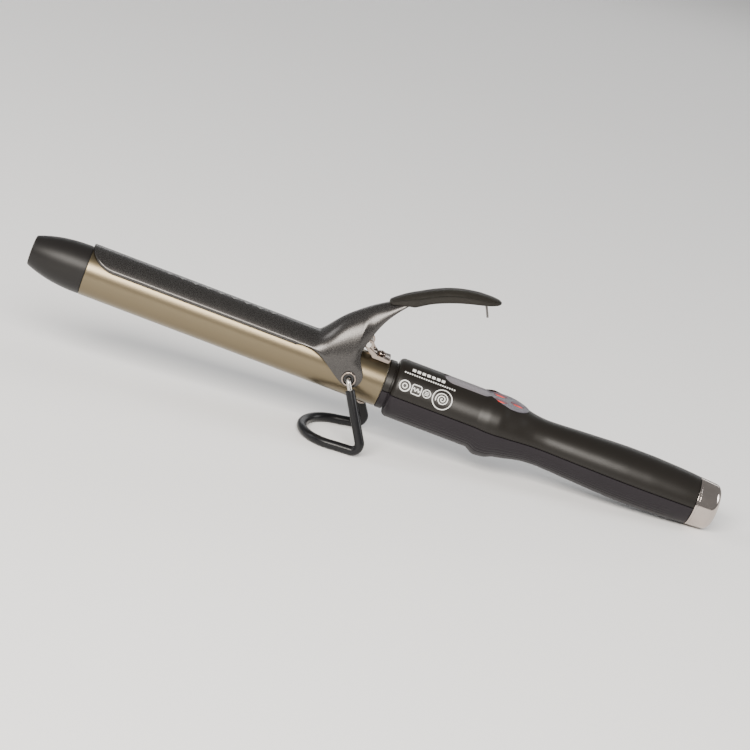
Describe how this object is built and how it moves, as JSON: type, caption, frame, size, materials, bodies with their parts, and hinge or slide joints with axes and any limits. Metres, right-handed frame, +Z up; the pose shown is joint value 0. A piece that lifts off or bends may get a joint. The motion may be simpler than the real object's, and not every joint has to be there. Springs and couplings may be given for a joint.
{
  "type": "curling iron",
  "caption": "Clamp curling iron on its wire stand: heated barrel, sprung clamp with thumb lever, two-shell handle with push buttons and a cord swivel.",
  "frame": {"origin": "centre of the bounding box on the table that the iron stands on", "axes": "+X level along the iron towards the handle's end, -X the cool tip, +Y the side away from the viewer (the iron's right side seen from the handle), +Z up; the iron itself is tipped 7.14 degrees tip up"},
  "size_m": [0.3832, 0.0518, 0.0958],
  "materials": {
    "black_plastic": "fine matt texture",
    "black_rubber": "satin silicone sleeve",
    "dark_shell": "satin black-brown moulding",
    "plum_shell": "satin purple-charcoal moulding",
    "mauve_plastic": "satin mauve-grey",
    "red_plastic": "translucent red, gloss",
    "yellow_plastic": "gloss",
    "green_board": "solder resist",
    "red_wire": "silicone insulation",
    "ceramic": "matt",
    "glass_bead": "glazed bead",
    "champagne_metal": "satin champagne titanium coating",
    "graphite_metal": "metallic flake graphite paint",
    "aluminium": "as extruded",
    "chrome": "polished",
    "steel": "plain",
    "dark_steel": "blackened",
    "brass": "plain"
  },
  "bodies": {
    "iron": {"cool_tip": "black_plastic", "barrel_tube": "champagne_metal", "heat_spreader_upper": "aluminium", "heat_spreader_lower": "aluminium", "heater_plate": "ceramic", "thermistor": "glass_bead", "thermal_fuse": "steel", "heater_lead_left": "red_wire", "heater_lead_right": "red_wire", "barrel_socket": "ceramic", "pivot_rivet_left": "chrome", "pivot_rivet_right": "chrome", "stand_bush_left": "black_plastic", "stand_bush_right": "black_plastic", "spring_bracket": "chrome", "spring_pin": "steel", "clamp_spring": "steel", "bracket_screw": "chrome", "barrel_screw": "chrome", "handle_upper": "dark_shell", "handle_lower": "plum_shell", "control_panel": "mauve_plastic", "shell_screw_96": "steel", "shell_screw_150": "steel", "circuit_board": "green_board", "board_screw_31": "steel", "board_screw_49": "steel", "switch_plus": "black_plastic", "switch_minus": "black_plastic", "switch_power": "black_plastic", "power_triac": "black_plastic", "filter_capacitor": "yellow_plastic", "end_cap": "chrome", "swivel_retainer": "steel", "brush_contact_front": "brass", "brush_contact_rear": "brass"},
    "clamp_lever": {"clamp": "graphite_metal", "thumb_pad": "black_plastic", "stop_pin": "dark_steel"},
    "wire_stand": {"stand_wire": "steel", "stand_sleeve": "black_rubber"},
    "plus_key": {"button_plus": "red_plastic"},
    "minus_key": {"button_minus": "red_plastic"},
    "power_key": {"button_power": "red_plastic"},
    "cord_swivel": {"swivel_core": "black_plastic", "slip_ring_front": "brass", "slip_ring_rear": "brass"}
  },
  "joints": [
    {"name": "clamp_hinge", "type": "hinge", "parent": "iron", "child": "clamp_lever", "pos_m": [-0.01507, 0, 0.03787], "axis": [0, 1, 0], "range_deg": [0, 31], "stiffness_Nm_per_rad": 0.25, "springref_deg": -34.38, "deforming": ["clamp_spring"]},
    {"name": "stand_hinge", "type": "hinge", "parent": "iron", "child": "wire_stand", "pos_m": [-0.01507, 0, 0.03787], "axis": [0, 1, 0], "range_deg": [-78, 38]},
    {"name": "plus_press", "type": "slide", "parent": "iron", "child": "plus_key", "axis": [-0.1244, 0, -0.9922], "range_m": [0, 0.0006], "stiffness_N_per_m": 1200, "springref_m": -0.0004},
    {"name": "minus_press", "type": "slide", "parent": "iron", "child": "minus_key", "axis": [-0.1244, 0, -0.9922], "range_m": [0, 0.0006], "stiffness_N_per_m": 1200, "springref_m": -0.0004},
    {"name": "power_press", "type": "slide", "parent": "iron", "child": "power_key", "axis": [-0.1244, 0, -0.9922], "range_m": [0, 0.0006], "stiffness_N_per_m": 1200, "springref_m": -0.0004},
    {"name": "cord_swivel_turn", "type": "hinge", "parent": "iron", "child": "cord_swivel", "pos_m": [0.16155, 0, 0.01574], "axis": [0.9922, 0, -0.1244], "continuous": true}
  ]
}
